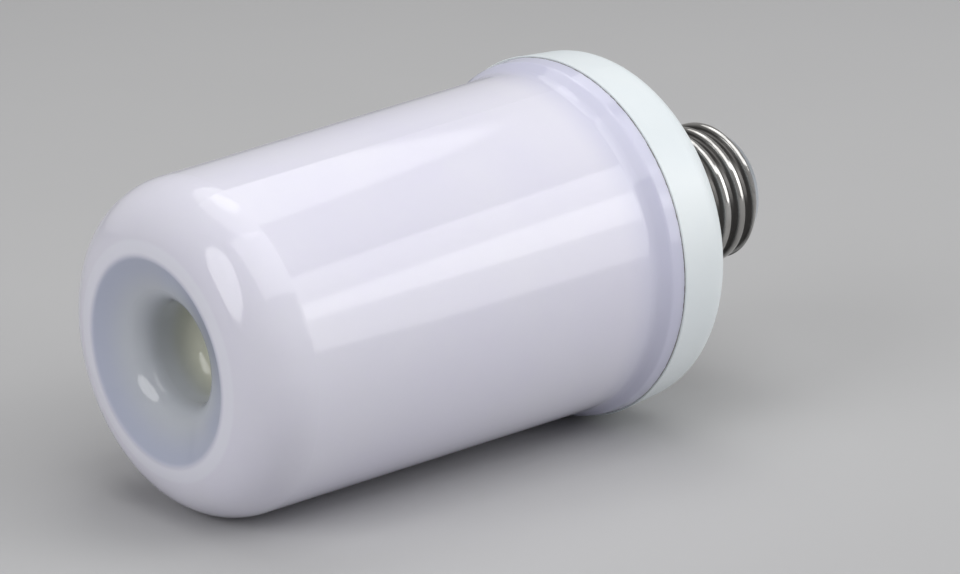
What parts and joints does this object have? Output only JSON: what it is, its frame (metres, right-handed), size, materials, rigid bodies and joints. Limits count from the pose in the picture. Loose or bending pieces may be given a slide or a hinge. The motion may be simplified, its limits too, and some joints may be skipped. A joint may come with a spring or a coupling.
{
  "type": "flame effect led bulb",
  "caption": "LED lamp bulb with a milky flanged cover, a dished open well in its end, a white ring and shoulder, and a threaded metal screw cap.",
  "frame": {"origin": "centre of the dished end, in the plane of the rim it stands on", "axes": "+Z along the bulb's axis, from the dished end to the screw cap; +X and +Y across it"},
  "size_m": [0.0666, 0.0666, 0.1337],
  "materials": {
    "cover": "milky translucent, polished",
    "housing": "white, satin moulded",
    "cap_shell": "bright nickel plate",
    "cap_insulator": "black, moulded",
    "contact": "bright plated, pressed",
    "core_tube": "white, moulded",
    "flex_board": "amber film with copper tracks",
    "side_leds": "yellow phosphor in a pale frame",
    "top_board": "white solder mask",
    "top_leds": "yellow phosphor in a pale frame",
    "driver_board": "green solder mask",
    "screws": "zinc plated",
    "pins": "gold plated",
    "input_capacitor": "dark sleeve",
    "output_capacitor": "dark sleeve",
    "bridge_rectifier": "black epoxy with tinned legs",
    "led_driver_chip": "black epoxy with tinned legs",
    "flame_controller_chip": "black epoxy with tinned legs",
    "flyback_diode": "black epoxy with tinned legs",
    "fusible_resistor": "blue lacquer with colour bands",
    "tilt_switch": "plated can",
    "inductor": "ferrite with a copper winding",
    "live_lead": "red sleeve",
    "neutral_lead": "black sleeve",
    "top_leads": "white sleeve"
  },
  "bodies": {
    "root": {"diffuser_cover": "cover", "base_housing": "housing", "screw_cap": "cap_shell", "cap_insulator": "cap_insulator", "centre_contact": "contact", "core_tube": "core_tube", "led_flex_board": "flex_board", "side_leds_row_1": "side_leds", "side_leds_row_2": "side_leds", "side_leds_row_3": "side_leds", "side_leds_row_4": "side_leds", "side_leds_row_5": "side_leds", "side_leds_row_6": "side_leds", "side_leds_row_7": "side_leds", "top_led_board": "top_board", "top_leds": "top_leds", "driver_board": "driver_board", "core_screws": "screws", "board_pins": "pins", "input_capacitor": "input_capacitor", "output_capacitor": "output_capacitor", "bridge_rectifier": "bridge_rectifier", "led_driver_chip": "led_driver_chip", "flame_controller_chip": "flame_controller_chip", "flyback_diode": "flyback_diode", "fusible_resistor": "fusible_resistor", "tilt_switch": "tilt_switch", "buck_inductor": "inductor", "live_wire": "live_lead", "neutral_wire": "neutral_lead", "top_board_leads": "top_leads"}
  },
  "joints": []
}
